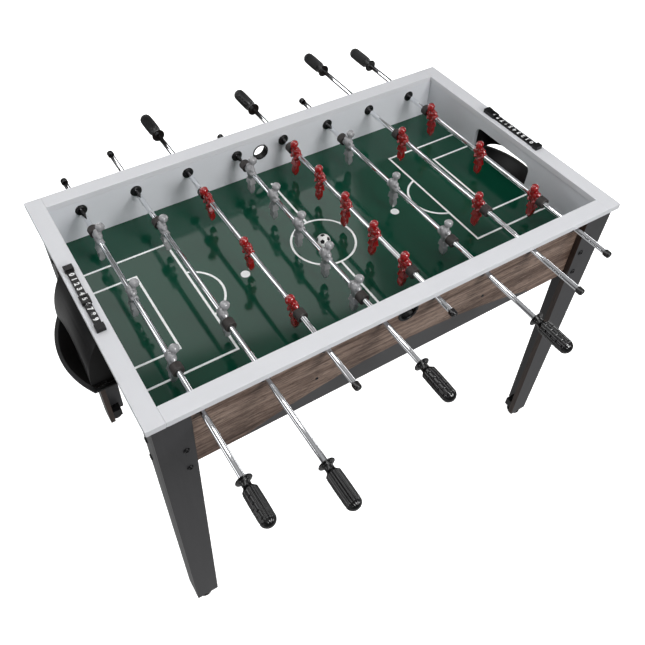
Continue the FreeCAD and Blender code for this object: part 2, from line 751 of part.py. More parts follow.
def ball_returns():
    moulding = return_shape()
    for side, angle in (("left", 180), ("right", 0)):
        thing = doc.addObject("Part::Feature", f"return_{side}")
        thing.Shape = moulding
        turn = FreeCAD.Rotation(FreeCAD.Vector(0, 0, 1), angle)
        thing.Placement = FreeCAD.Placement(FreeCAD.Vector(), turn)
        keep(thing, f"ball_return_{side}")


# ---------------------------------------------------------------- score counters

def score_counter(side, end, digit):
    """Track with end stops on the end rail, and the sliding marker over one of ten digits."""
    name = f"score_{side}"
    middle = f"({end} * track_station)"

    def across(wide):
        return f"{middle} - {wide} / 2", f"{middle} + {wide} / 2"

    bar = board(name + "_bar", across("track_wide"), ("-track_half_long", "track_half_long"),
                ("table_height", "table_height + track_thick"))
    stops = [
        board(f"{name}_stop", across("track_end_wide"), y, ("table_height", "table_height + track_end_thick"))
        for y in (("-track_half_long", "-track_half_long + track_end_long"),
                  ("track_half_long - track_end_long", "track_half_long"))
    ]
    keep(fuse(name + "_track", [bar] + stops), f"score_track_{side}")

    place = f"({end} * ({digit} - {DIGIT_MIDDLE}) * digit_pitch)"
    bottom = "table_height + marker_gap / 2"
    block = board(name + "_block", across("marker_wide"),
                  (f"{place} - marker_long / 2", f"{place} + marker_long / 2"),
                  (bottom, "table_height + marker_thick"))
    channel = board(name + "_channel", across("(track_wide + 2 * marker_gap)"),
                    (f"{place} - marker_long", f"{place} + marker_long"),
                    ("table_height", "table_height + track_thick + marker_gap"))
    window = board(name + "_window", across("marker_window_wide"),
                   (f"{place} - marker_window_long / 2", f"{place} + marker_window_long / 2"),
                   ("table_height", "table_height + 2 * marker_thick"))
    keep(cut(name + "_marker", block, [channel, window]), f"score_marker_{side}")


# ---------------------------------------------------------------- build and write

def build():
    side_panel("near", -1)
    side_panel("far", 1)
    end_panel("left", -1)
    end_panel("right", 1)
    rails()
    field()
    for x_word, end in (("left", -1), ("right", 1)):
        for y_word, side in (("near", -1), ("far", 1)):
            leg(f"leg_{y_word}_{x_word}", end, side)
    fasteners()
    feet()
    rod_bushings()
    rod_set()
    ball()
    ball_entries()
    ball_returns()
    score_counter("left", -1, 5)
    score_counter("right", 1, 9)
    doc.recompute()


def write():
    failed = [o.Name for o in doc.Objects if {"Invalid", "Error"} & set(o.State)]
    if failed:
        raise RuntimeError(f"failed features: {failed}")
    os.makedirs("parts", exist_ok=True)
    for thing in parts:
        shape = thing.Shape
        if shape.isNull() or not shape.isValid() or not shape.Solids:
            raise RuntimeError(f"bad shape: {thing.Label}")
        shape.exportStep(os.path.join("parts", thing.Label + ".step"))
    print(len(parts), "sub-parts written")


build()
write()
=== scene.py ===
import math

import bmesh
import bpy
from mathutils import Matrix, Vector


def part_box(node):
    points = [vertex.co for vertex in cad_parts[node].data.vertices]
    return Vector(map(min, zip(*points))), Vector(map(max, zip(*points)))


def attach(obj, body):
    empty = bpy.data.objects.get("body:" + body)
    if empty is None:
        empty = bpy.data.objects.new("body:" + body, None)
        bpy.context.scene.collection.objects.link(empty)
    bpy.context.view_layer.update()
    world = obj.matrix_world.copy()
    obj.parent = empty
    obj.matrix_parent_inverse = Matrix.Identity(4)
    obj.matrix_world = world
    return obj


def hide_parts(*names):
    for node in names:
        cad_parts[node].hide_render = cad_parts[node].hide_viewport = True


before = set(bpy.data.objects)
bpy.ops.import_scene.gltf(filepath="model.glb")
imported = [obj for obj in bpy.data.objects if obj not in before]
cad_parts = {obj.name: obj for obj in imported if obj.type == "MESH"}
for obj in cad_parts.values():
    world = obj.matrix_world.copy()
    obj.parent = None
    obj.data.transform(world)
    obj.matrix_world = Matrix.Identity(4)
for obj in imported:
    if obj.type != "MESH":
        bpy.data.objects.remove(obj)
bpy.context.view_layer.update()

# Foosball table. Origin on the floor under the middle, -Y is the near side, -X the left end.
# The scene is in metres; outlines of turned and moulded pieces are in millimetres.

MM = 0.001
WHOLE_TURN = 2 * math.pi
AXES = {"X": Vector((1, 0, 0)), "Y": Vector((0, 1, 0)), "Z": Vector((0, 0, 1))}

# Rod by rod from the left: team, turn of the men about the rod in degrees, roll of the grip.
RODS = (
    ("grey", -5, 20),
    ("grey", 3, 105),
    ("red", 4, 80),
    ("grey", -1, -25),
    ("red", -2.5, 160),
    ("grey", 5, -32),
    ("red", 0, 60),
    ("red", 4, 100),
)


# ---------------------------------------------------------------- small mesh tools

def add_piece(name, mesh, finish, body, crease=35):
    """One visible piece of the object: smooth, painted, and riding on its CAD body."""
    obj = bpy.data.objects.new(name, mesh)
    bpy.context.scene.collection.objects.link(obj)
    if not mesh.materials:
        mesh.materials.append(finish)
    mesh.polygons.foreach_set("use_smooth", [True] * len(mesh.polygons))
    mesh.set_sharp_from_angle(angle=math.radians(crease))
    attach(obj, body)
    return obj


def mesh_from(name, verts, faces):
    """Mesh from points in millimetres."""
    mesh = bpy.data.meshes.new(name)
    mesh.from_pydata([Vector(v) * MM for v in verts], [], faces)
    mesh.validate()
    return mesh


def merged(name, meshes):
    """One mesh holding several."""
    bm = bmesh.new()
    for mesh in meshes:
        bm.from_mesh(mesh)
        bpy.data.meshes.remove(mesh)
    whole = bpy.data.meshes.new(name)
    bm.to_mesh(whole)
    bm.free()
    return whole


def placed(mesh, place):
    """The mesh moved by a matrix."""
    mesh.transform(place)
    return mesh


def rounded(profile, radius, steps=4):
    """A (radius, height) profile with its inner corners rounded. Each entry may carry its own rounding."""
    points = [(p[0], p[1]) for p in profile]
    bends = [p[2] if len(p) > 2 else radius for p in profile]
    out = [points[0]]
    for before, corner, after, bend in zip(points, points[1:], points[2:], bends[1:]):
        a, c, b = Vector(before), Vector(corner), Vector(after)
        reach = min(bend, (a - c).length * 0.49, (b - c).length * 0.49)
        if reach <= 0:
            out.append(corner)
            continue
        start = c + (a - c).normalized() * reach
        end = c + (b - c).normalized() * reach
        for i in range(steps + 1):
            t = i / steps
            spot = start * (1 - t) ** 2 + c * 2 * t * (1 - t) + end * t ** 2
            out.append((spot.x, spot.y))
    out.append(points[-1])
    return out


def lathe(name, profile, turns=48, relief=None):
    """Profile of (radius, height) spun about Z, in millimetres.

    relief(angle, height, radius) may push the surface in or out.
    """
    verts, faces, rings = [], [], []
    for radius, height in profile:
        if radius < 1e-6:
            verts.append((0, 0, height))
            rings.append([len(verts) - 1])
            continue
        ring = []
        for i in range(turns):
            angle = WHOLE_TURN * i / turns
            r = relief(angle, height, radius) if relief else radius
            verts.append((r * math.cos(angle), r * math.sin(angle), height))
            ring.append(len(verts) - 1)
        rings.append(ring)
    for low, high in zip(rings, rings[1:]):
        for i in range(turns):
            j = (i + 1) % turns
            if len(low) == 1 and len(high) == 1:
                continue
            if len(low) == 1:
                faces.append((low[0], high[j], high[i]))
            elif len(high) == 1:
                faces.append((low[i], low[j], high[0]))
            else:
                faces.append((low[i], low[j], high[j], high[i]))
    return mesh_from(name, verts, faces)


def along(axis, sense=1):
    """Turn that lays +Z along an axis."""
    return (AXES[axis] * sense).to_track_quat("Z", "Y").to_matrix().to_4x4()


def islands(node):
    """(lowest corner, highest corner) of each separate part of a CAD node, in millimetres.

    Points that agree to 0.01 mm count as one.
    """
    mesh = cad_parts[node].data
    names, ids = {}, []
    for vertex in mesh.vertices:
        ids.append(names.setdefault(tuple(round(c * 1e5) for c in vertex.co), len(names)))
    parent = list(range(len(names)))

    def root(i):
        while parent[i] != i:
            parent[i] = parent[parent[i]]
            i = parent[i]
        return i

    for face in mesh.polygons:
        for vertex in face.vertices[1:]:
            parent[root(ids[vertex])] = root(ids[face.vertices[0]])
    groups = {}
    for vertex, i in zip(mesh.vertices, ids):
        groups.setdefault(root(i), []).append(vertex.co / MM)
    return [
        tuple(Vector([pick(co[i] for co in group) for i in range(3)]) for pick in (min, max))
        for group in groups.values()
    ]


# ---------------------------------------------------------------- materials

class Paint:
    """One procedural material, built node by node from object coordinates."""

    def __init__(self, name, roughness=0.5, **constants):
        self.material = bpy.data.materials.new(name)
        self.material.use_nodes = True
        self.nodes = self.material.node_tree.nodes
        self.links = self.material.node_tree.links
        self.shader = self.nodes["Principled BSDF"]
        self.shader.inputs["Roughness"].default_value = roughness
        for socket, value in constants.items():
            self.shader.inputs[socket.replace("_", " ")].default_value = value
        self.place = self.nodes.new("ShaderNodeTexCoord").outputs["Object"]

    def put(self, socket, what):
        """Sets a socket to a number, a colour or the output of another node."""
        if isinstance(what, bpy.types.NodeSocket):
            self.links.new(what, socket)
        else:
            socket.default_value = what

    def math(self, operation, a, b=0.0):
        node = self.nodes.new("ShaderNodeMath")
        node.operation = operation
        self.put(node.inputs[0], a)
        self.put(node.inputs[1], b)
        return node.outputs[0]

    def axis(self, name):
        if not hasattr(self, "split"):
            self.split = self.nodes.new("ShaderNodeSeparateXYZ")
            self.links.new(self.place, self.split.inputs[0])
        return self.split.outputs[name]

    def stretched(self, x, y, z):
        """Object coordinates scaled per axis."""
        node = self.nodes.new("ShaderNodeMapping")
        self.links.new(self.place, node.inputs["Vector"])
        node.inputs["Scale"].default_value = (x, y, z)
        return node.outputs[0]

    def noise(self, scale, detail=3, vector=None, roughness=0.5, distortion=0):
        node = self.nodes.new("ShaderNodeTexNoise")
        self.links.new(vector or self.place, node.inputs["Vector"])
        node.inputs["Scale"].default_value = scale
        node.inputs["Detail"].default_value = detail
        node.inputs["Roughness"].default_value = roughness
        node.inputs["Distortion"].default_value = distortion
        return node.outputs["Fac"]

    def ramp(self, value, *stops):
        node = self.nodes.new("ShaderNodeValToRGB")
        self.links.new(value, node.inputs[0])
        cells = node.color_ramp.elements
        while len(cells) < len(stops):
            cells.new(0.5)
        for cell, (spot, colour) in zip(cells, stops):
            cell.position = spot
            cell.color = colour
        return node.outputs[0]

    def mix(self, share, a, b):
        node = self.nodes.new("ShaderNodeMix")
        node.data_type = "RGBA"
        self.put(node.inputs["Factor"], share)
        self.put(node.inputs[6], a)
        self.put(node.inputs[7], b)
        return node.outputs[2]

    def length(self, x, y):
        """Length of the vector (x, y)."""
        squares = self.math("ADD", self.math("MULTIPLY", x, x), self.math("MULTIPLY", y, y))
        return self.math("SQRT", squares)

    def spread(self, value, low, high):
        """A 0 to 1 value spread between two limits."""
        return self.math("ADD", self.math("MULTIPLY", value, high - low), low)

    def colour(self, what):
        self.put(self.shader.inputs["Base Color"], what)

    def bump(self, height, strength, distance=0.0002):
        node = self.nodes.new("ShaderNodeBump")
        node.inputs["Strength"].default_value = strength
        node.inputs["Distance"].default_value = distance
        self.links.new(height, node.inputs["Height"])
        self.links.new(node.outputs[0], self.shader.inputs["Normal"])

    def rough(self, value):
        self.put(self.shader.inputs["Roughness"], value)


def rgb(red, green, blue):
    """Screen colour from 0 to 255 as the linear colour a shader takes."""
    def line(c):
        c = c / 255
        return c / 12.92 if c <= 0.04045 else ((c + 0.055) / 1.055) ** 2.4
    return (line(red), line(green), line(blue), 1)


def rail_finish():
    """Smooth pale foil: two close tones in a faint cloud, with a fine pore."""
    paint = Paint("rail_foil")
    paint.colour(paint.mix(paint.noise(7, 4), rgb(226, 227, 230), rgb(217, 218, 222)))
    pore = paint.noise(900, 2)
    paint.rough(paint.spread(pore, 0.30, 0.44))
    paint.bump(pore, 0.08)
    return paint.material


def driftwood(paint, lengthwise):
    """Colour and grain of grey-brown printed wood with long streaks; lengthwise is X or Y."""
    def run(slow, across):
        if lengthwise == "X":
            return paint.stretched(slow, across, across)
        return paint.stretched(across, slow, across)

    broad = paint.noise(1, 4, run(1.6, 34), 0.6, 0.8)
    fine = paint.noise(1, 6, run(13, 330), 0.75, 0.4)
    fleck = paint.noise(1, 2, run(60, 620), 0.6)
    tone = paint.math("ADD", paint.math("MULTIPLY", broad, 0.4), paint.math("MULTIPLY", fine, 0.6))
    wood = paint.ramp(
        tone,
        (0.38, rgb(56, 42, 34)),
        (0.46, rgb(102, 82, 71)),
        (0.54, rgb(140, 119, 106)),
        (0.63, rgb(172, 152, 138)),
    )
    pores = paint.ramp(fleck, (0.34, (1, 1, 1, 1)), (0.46, (0, 0, 0, 1)))
    return paint.mix(paint.math("MULTIPLY", pores, 0.65), wood, rgb(30, 23, 19)), fine


SEGMENT_HALF = 0.420
SEGMENT_RISE = 0.062
SKIN = 0.0012
SAWN_EDGE = 0.0006


def panel_finish(name, lengthwise):
    """Cabinet board: driftwood outside, pale foil inside, and a grey segment low on the side panels."""
    paint = Paint(name, 0.45, Specular_IOR_Level=0.3)
    wood, grain = driftwood(paint, lengthwise)
    x = paint.axis("X")
    y = paint.math("ABSOLUTE", paint.axis("Y"))
    z = paint.axis("Z")
    if lengthwise == "X":
        lo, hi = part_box("side_panel_far")
        outside = paint.math("GREATER_THAN", y, hi.y - SKIN)
        radius = (SEGMENT_HALF ** 2 + SEGMENT_RISE ** 2) / (2 * SEGMENT_RISE)
        drop = paint.math("SUBTRACT", z, lo.z + SEGMENT_RISE - radius)
        segment = paint.math("LESS_THAN", paint.length(x, drop), radius)
        grey = paint.mix(paint.noise(5, 3), rgb(80, 80, 81), rgb(68, 68, 69))
        wood = paint.mix(segment, wood, grey)
    else:
        lo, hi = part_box("end_panel_right")
        outside = paint.math("GREATER_THAN", paint.math("ABSOLUTE", x), hi.x - SKIN)
    edge = paint.math("LESS_THAN", z, lo.z + SAWN_EDGE)
    foil = paint.mix(paint.noise(6, 3), rgb(224, 226, 230), rgb(216, 218, 223))
    foil = paint.mix(edge, foil, rgb(70, 66, 62))
    paint.colour(paint.mix(outside, foil, wood))
    paint.bump(grain, 0.12)
    return paint.material


LEG_TAPER = 0.0222
LEG_EDGING = 0.0008


def leg_finish():
    """Charcoal foil with brown wood edging on the slanting edges and the foot."""
    paint = Paint("leg_charcoal", 0.38, Specular_IOR_Level=0.4)
    cloud = paint.noise(1, 4, paint.stretched(90, 90, 5), 0.6)
    charcoal = paint.mix(cloud, rgb(50, 50, 52), rgb(62, 62, 64))
    lo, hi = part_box("leg_far_right")
    z = paint.axis("Z")
    down = paint.math("DIVIDE", paint.math("SUBTRACT", hi.z, z), hi.z - lo.z)
    narrowing = paint.math("MULTIPLY", down, LEG_TAPER)
    x = paint.math("ABSOLUTE", paint.axis("X"))
    y = paint.math("ABSOLUTE", paint.axis("Y"))
    side_edge = paint.math("LESS_THAN", x, paint.math("ADD", narrowing, lo.x + LEG_EDGING))
    end_edge = paint.math("LESS_THAN", y, paint.math("ADD", narrowing, lo.y + LEG_EDGING))
    edge = paint.math("MAXIMUM", side_edge, end_edge)
    bottom = paint.math("LESS_THAN", z, lo.z + LEG_EDGING)
    streak = paint.noise(1, 4, paint.stretched(700, 700, 12), 0.6)
    brown = paint.ramp(streak, (0.35, rgb(36, 26, 21)), (0.65, rgb(74, 58, 49)))
    paint.colour(paint.mix(paint.math("MAXIMUM", edge, bottom), charcoal, brown))
    paint.bump(paint.noise(1200, 2), 0.06)
    return paint.material


# Field marks of one quarter in metres from the middle; the other quarters mirror it.
LINE_HALF = 0.0028
CIRCLE_RADIUS = 0.081
HALFWAY_END = 0.264
BOX_CORNERS = ((0.341, 0.190), (0.448, 0.124))
BOX_ARC_X = 0.364
BOX_ARC_RADIUS = 0.080
SPOT_X = 0.221
SPOT_RADIUS = 0.0115


def field_finish():
    """Glossy green field foil with its white lines printed on it."""
    paint = Paint("field_green")
    x = paint.math("ABSOLUTE", paint.axis("X"))
    y = paint.math("ABSOLUTE", paint.axis("Y"))

    def near(value, target):
        gap = paint.math("ABSOLUTE", paint.math("SUBTRACT", value, target))
        return paint.math("LESS_THAN", gap, LINE_HALF)

    def above(value, limit):
        return paint.math("GREATER_THAN", value, limit)

    def below(value, limit):
        return paint.math("LESS_THAN", value, limit)

    def both(a, b):
        return paint.math("MULTIPLY", a, b)

    def away(centre_x):
        return paint.length(paint.math("SUBTRACT", x, centre_x), y)

    marks = [
        near(away(0.0), CIRCLE_RADIUS),
        both(near(x, 0.0), both(above(y, CIRCLE_RADIUS), below(y, HALFWAY_END))),
        both(near(away(BOX_ARC_X), BOX_ARC_RADIUS), below(x, BOX_CORNERS[0][0])),
        below(away(SPOT_X), SPOT_RADIUS),
    ]
    for line_x, line_y in BOX_CORNERS:
        marks.append(both(near(x, line_x), below(y, line_y + LINE_HALF)))
        marks.append(both(near(y, line_y), above(x, line_x - LINE_HALF)))
    white = marks[0]
    for mark in marks[1:]:
        white = paint.math("MAXIMUM", white, mark)
    green = paint.mix(paint.noise(4, 3), rgb(13, 70, 52), rgb(9, 61, 45))
    paint.colour(paint.mix(white, green, rgb(250, 252, 251)))
    paint.rough(paint.spread(paint.noise(2.2, 3), 0.07, 0.12))
    paint.bump(paint.noise(60, 2), 0.02)
    return paint.material


def moulded(name, light, dark, roughness, grain=0.10, **constants):
    """Injection-moulded plastic or rubber with a fine skin."""
    paint = Paint(name, **constants)
    paint.colour(paint.mix(paint.noise(60, 3), light, dark))
    skin = paint.noise(700, 3)
    paint.rough(paint.spread(skin, max(roughness - 0.07, 0.02), roughness + 0.09))
    paint.bump(skin, grain)
    return paint.material


def chrome():
    """Polished tube with faint lengthwise drawing lines."""
    paint = Paint("chrome", Metallic=1.0)
    lines = paint.noise(1, 3, paint.stretched(2600, 10, 2600), 0.6)
    paint.colour(paint.mix(lines, rgb(246, 247, 249), rgb(234, 236, 239)))
    paint.rough(paint.spread(lines, 0.03, 0.09))
    return paint.material


def raw_board():
    """Bare particle board under the field."""
    paint = Paint("raw_board", 0.8)
    chips = paint.noise(260, 5, roughness=0.7)
    paint.colour(paint.ramp(chips, (0.3, rgb(120, 96, 70)), (0.7, rgb(176, 150, 118))))
    paint.bump(chips, 0.4, 0.0006)
    return paint.material


FINISH = {
    "rail": rail_finish(),
    "side": panel_finish("side_board", "X"),
    "end": panel_finish("end_board", "Y"),
    "field": field_finish(),
    "leg": leg_finish(),
    "board": raw_board(),
    "black": moulded(
        "black_moulding", rgb(19, 19, 20), rgb(13, 13, 14), 0.34, Specular_IOR_Level=0.35,
    ),
    "gloss": moulded(
        "black_gloss", rgb(14, 14, 15), rgb(9, 9, 10), 0.24, Specular_IOR_Level=0.35,
    ),
    "screw": moulded("black_screws", rgb(20, 20, 22), rgb(13, 13, 15), 0.26),
    "foot": moulded("foot_rubber", rgb(14, 14, 15), rgb(9, 9, 10), 0.30),
    "rubber": moulded("bumper_rubber", rgb(58, 53, 51), rgb(47, 43, 41), 0.55, 0.2),
    "handle": moulded(
        "handle_black", rgb(11, 11, 12), rgb(8, 8, 9), 0.16, 0.0, Specular_IOR_Level=0.8,
    ),
    "grey": moulded(
        "team_grey", rgb(156, 156, 158), rgb(145, 145, 147), 0.14, 0.0,
        Specular_IOR_Level=1.0, Coat_Weight=0.6,
    ),
    "red": moulded(
        "team_red", rgb(158, 4, 11), rgb(138, 3, 8), 0.09, 0.0,
        Specular_IOR_Level=0.9, Coat_Weight=0.6,
    ),
    "chrome": chrome(),
    "white": moulded("ball_white", rgb(238, 238, 236), rgb(228, 228, 226), 0.30, 0.04),
    "ink": moulded("digit_white", rgb(245, 245, 245), rgb(232, 232, 232), 0.45, 0.04),
}


# ---------------------------------------------------------------- boards kept from the CAD

BOARD_CREASE = math.radians(30)


def kept_board(node, finish, bevel):
    """A CAD board with softened edges and its finish."""
    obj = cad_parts[node]
    obj.data.materials[0] = finish
    weld = obj.modifiers.new("weld", "WELD")
    weld.merge_threshold = 0.02 * MM
    soft = obj.modifiers.new("soft_edges", "BEVEL")
    soft.width = bevel
    soft.segments = 2
    soft.limit_method = "ANGLE"
    soft.angle_limit = BOARD_CREASE
    soft.harden_normals = True


def boards():
    """The pieces whose CAD shape is kept, with the width of the bevel in metres."""
    for node in ("side_panel_near", "side_panel_far"):
        kept_board(node, FINISH["side"], 0.0004)
    for node in ("end_panel_left", "end_panel_right"):
        kept_board(node, FINISH["end"], 0.0004)
    for node in ("side_rails", "end_rail_left", "end_rail_right"):
        kept_board(node, FINISH["rail"], 0.0013)
    kept_board("playfield", FINISH["field"], 0.0003)
    kept_board("field_supports", FINISH["board"], 0.0004)
    for corner in ("near_left", "near_right", "far_left", "far_right"):
        kept_board(f"leg_{corner}", FINISH["leg"], 0.0004)
    kept_board("leg_brackets", FINISH["black"], 0.0008)
    for end in ("left", "right"):
        kept_board(f"ball_return_{end}", FINISH["black"], 0.0012)
        kept_board(f"score_track_{end}", FINISH["gloss"], 0.0009)
        kept_board(f"score_marker_{end}", FINISH["gloss"], 0.0009)


# ---------------------------------------------------------------- rods, bumpers, handles

TUBE_WALL = 1.2
TUBE_CHAMFER = 0.3


def tube(k):
    """Chrome tube, open at both ends as in the CAD."""
    lo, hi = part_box(f"rod_{k}_tube")
    outer = (hi.x - lo.x) / 2 / MM
    long = (hi.y - lo.y) / MM
    bore = outer - TUBE_WALL
    profile = [
        (bore, 0), (outer - TUBE_CHAMFER, 0), (outer, TUBE_CHAMFER),
        (outer, long - TUBE_CHAMFER), (outer - TUBE_CHAMFER, long), (bore, long), (bore, 0),
    ]
    mesh = lathe(f"tube_{k}", profile, 64)
    centre = Vector(((lo.x + hi.x) / 2, lo.y, (lo.z + hi.z) / 2))
    placed(mesh, Matrix.Translation(centre) @ along("Y"))
    piece = add_piece(f"rod_{k}_chrome", mesh, FINISH["chrome"], f"rod_{k}_spin", 50)
    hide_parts(f"rod_{k}_tube")


def bumper_mesh():
    """Rubber ring about Z, centred: flat faces sunk a little at the bore, with a thin bevel at the rim."""
    profile = rounded([
        (6.9, -9.4), (8.6, -9.4, 0.3), (9.2, -10, 0.3), (12.6, -10, 0.5), (13.5, -9.1, 0.5),
        (13.5, 9.1, 0.5), (12.6, 10, 0.5), (9.2, 10, 0.3), (8.6, 9.4, 0.3), (6.9, 9.4), (6.9, -9.4),
    ], 0.5)
    return lathe("bumper", profile, 56)


def bumpers(k, ring):
    node = f"rod_{k}_bumpers"
    for i, (lo, hi) in enumerate(islands(node), start=1):
        mesh = placed(ring.copy(), Matrix.Translation((lo + hi) / 2 * MM) @ along("Y"))
        piece = add_piece(f"rod_{k}_bumper_{i}", mesh, FINISH["rubber"], f"rod_{k}_slide")
        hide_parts(node)


# Grip in millimetres: length, where its body starts, where its round end starts, and the body's radius.
GRIP_LONG = 101.0
GRIP_BODY = 24
GRIP_DOME = 86
GRIP_RADIUS = 15.9
GRIP_BELLY = 0.4
RING_STEP = 0.62
DOME_RINGS = 14

# Its relief: ribs on one half, and columns of blocks on the other. FALL is how far each drops at its edges.
RIBS = 8
RIB_ZONE = math.radians(170)
RIB_FALL = 2.6
COLUMNS = 5
BLOCK = 15.2
BLOCK_SIDE_FALL = 2.4
BLOCK_END_FALL = 2.2


def pillow(share, depth, power=2.0):
    """Fall of a rounded rib or block at a share, -1 to 1, of its half width; more power, flatter top."""
    return depth * (1 - (1 - min(abs(share), 1.0) ** power) ** 0.5)


def grip_relief(angle, height, radius):
    """Round ribs on one half of the grip and staggered blocks on the other."""
    rising = max(0.0, (height - GRIP_BODY + 3) / 4)
    ending = max(0.0, (GRIP_LONG - 3 - height) / 5)
    fade = min(1.0, rising, ending)
    if fade <= 0 or radius < 6:
        return radius
    angle = (angle + math.pi) % WHOLE_TURN - math.pi
    if abs(angle) <= RIB_ZONE / 2:
        pitch = RIB_ZONE / RIBS
        share = 2 * ((angle + RIB_ZONE / 2) % pitch) / pitch - 1
        return radius - fade * pillow(share, RIB_FALL)
    turned = (angle - RIB_ZONE / 2) % WHOLE_TURN
    pitch = (WHOLE_TURN - RIB_ZONE) / COLUMNS
    column = int(turned // pitch)
    share = 2 * (turned % pitch) / pitch - 1
    start = height - GRIP_BODY + (BLOCK / 2 if column % 2 else 0)
    length_share = 2 * (start % BLOCK) / BLOCK - 1
    fall = max(pillow(share, BLOCK_SIDE_FALL, 2.6), pillow(length_share, BLOCK_END_FALL, 9.0))
    return radius - fade * fall


def grip_mesh():
    """Hand grip with its guard at z 0 and its rounded end at z GRIP_LONG."""
    profile = rounded([
        (6.5, 0), (13.5, 0, 0.4), (17.4, 0.6, 1.0), (17.4, 2.4, 1.0), (13, 3.2, 0.5), (11.2, 3.4, 0.5),
        (11.0, 6.2, 0.8), (9.2, 6.8, 0.8), (9.0, 15.5, 3), (10.6, 18.5, 2), (GRIP_RADIUS, GRIP_BODY, 4),
    ], 0.6, 3)
    height = GRIP_BODY + 1.5
    while height < GRIP_DOME:
        share = (height - GRIP_BODY) / (GRIP_DOME - GRIP_BODY + 2)
        profile.append((GRIP_RADIUS + GRIP_BELLY * math.sin(math.pi * share), height))
        height += RING_STEP
    for i in range(1, DOME_RINGS):
        turn = math.pi / 2 * i / DOME_RINGS
        rise = (GRIP_LONG - GRIP_DOME) * math.sin(turn)
        profile.append(((GRIP_RADIUS + 0.1) * math.cos(turn), GRIP_DOME + rise))
    profile.append((0, GRIP_LONG))
    return lathe("grip", profile, 180, grip_relief)


def cap_mesh():
    """Plain end cap: open end at z 0, closed end with rounded shoulders at z 15."""
    profile = rounded([
        (6.6, 0), (8.0, 0, 0.4), (8.5, 1.2, 0.6), (8.5, 11.8, 2.4), (6.8, 14.9, 1.5), (3.2, 14.9, 0.4),
        (2.8, 14.3, 0.4), (0, 14.3),
    ], 0.5)
    return lathe("cap", profile, 40)


def hand_ends(k, roll, grip, cap):
    """Grip at one end of a rod and cap at the other; the wider CAD part is the grip."""
    node = f"rod_{k}_handle"
    grip_box, cap_box = sorted(islands(node), key=lambda b: -(b[1].x - b[0].x))
    for kind, (lo, hi) in (("grip", grip_box), ("cap", cap_box)):
        sense = 1 if (lo + hi).y > 0 else -1
        start = Vector(((lo.x + hi.x) / 2, lo.y if sense > 0 else hi.y, (lo.z + hi.z) / 2)) * MM
        mesh = (grip if kind == "grip" else cap).copy()
        spin = Matrix.Rotation(math.radians(roll), 4, "Z")
        placed(mesh, Matrix.Translation(start) @ along("Y", sense) @ spin)
        piece = add_piece(f"rod_{k}_{kind}", mesh, FINISH["handle"], f"rod_{k}_spin", 40)
        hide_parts(node)


# ---------------------------------------------------------------- men

def ball_of(bm, centre, radii, turn=0.0):
    """Ellipsoid; turn tips it about Y."""
    tipped = Matrix.Rotation(math.radians(turn), 4, "Y")
    place = Matrix.Translation(centre) @ tipped @ Matrix.Diagonal((*radii, 1))
    bmesh.ops.create_uvsphere(bm, u_segments=24, v_segments=14, radius=1, matrix=place)


LIMB_BALLS = 5


def limb(bm, start, end, radius, end_radius, flat=1.0):
    """Tapered limb with round ends, as a row of balls; flat scales it across Y."""
    start, end = Vector(start), Vector(end)
    for i in range(LIMB_BALLS):
        t = i / (LIMB_BALLS - 1)
        r = radius + (end_radius - radius) * t
        ball_of(bm, start.lerp(end, t), (r, r * flat, r))


def block_of(bm, sections):
    """Solid through rectangles given as (height, back, front, half width)."""
    corners = []
    for height, back, front, wide in sections:
        outline = ((back, -wide), (front, -wide), (front, wide), (back, wide))
        corners.append([bm.verts.new((x, y, height)) for x, y in outline])
    bm.faces.new(reversed(corners[0]))
    bm.faces.new(corners[-1])
    for low, high in zip(corners, corners[1:]):
        for i in range(4):
            j = (i + 1) % 4
            bm.faces.new((low[i], low[j], high[j], high[i]))


def man_head(bm):
    """Skull, hair, nose, brow, chin, ears and neck."""
    ball_of(bm, (8.2, 0, 30.2), (10.2, 9.6, 10.8))
    ball_of(bm, (6.8, 0, 32.4), (10.2, 10.0, 8.7))
    ball_of(bm, (17.6, 0, 29.2), (2.0, 1.7, 2.9), -15)
    ball_of(bm, (15.6, 0, 33.4), (2.6, 6.4, 1.7))
    ball_of(bm, (15.2, 0, 23.6), (3.2, 3.8, 2.4))
    for side in (-1, 1):
        ball_of(bm, (7.2, side * 9.7, 29.4), (2.2, 1.3, 3.2))
    limb(bm, (2.6, 0, 12), (7.0, 0, 22.5), 6.4, 5.4)


def man_body(bm):
    """Trunk with the sleeve on the rod, arms, legs, shorts with their hem, and the foot block."""
    ball_of(bm, (0.4, 0, 5.4), (11.0, 13.6, 14.4))
    limb(bm, (0.2, 0, -3), (0.4, 0, -20), 9.8, 7.2, 1.12)
    limb(bm, (0, -14.3, 0), (0, 14.3, 0), 9.0, 9.0)
    for side in (-1, 1):
        ball_of(bm, (0.4, side * 10.6, 12.0), (7.2, 5.6, 6.2))
        limb(bm, (0.0, side * 12.8, 10.5), (-0.4, side * 13.8, -3.0), 5.4, 4.8)
        limb(bm, (-0.4, side * 13.8, -3.0), (8.6, side * 9.2, -9.5), 4.4, 3.8)
        ball_of(bm, (9.6, side * 7.8, -10.5), (3.6, 3.4, 3.4))
        limb(bm, (2.2, side * 4.9, -34), (2.6, side * 4.1, -57), 5.0, 4.0)
    block_of(bm, [
        (-36.4, -8.6, 9.0, 10.6), (-34.4, -9.0, 9.6, 11.4), (-32.4, -8.2, 8.8, 10.4), (-20, -6.6, 7.2, 8.6),
    ])
    block_of(bm, [
        (-69.7, -1.4, 3.2, 3.4), (-66, -4.0, 6.0, 4.8), (-60, -6.2, 8.2, 6.6), (-53, -6.4, 8.0, 8.2),
        (-46, -5.4, 6.4, 9.2), (-36, -4.8, 5.4, 9.0),
    ])


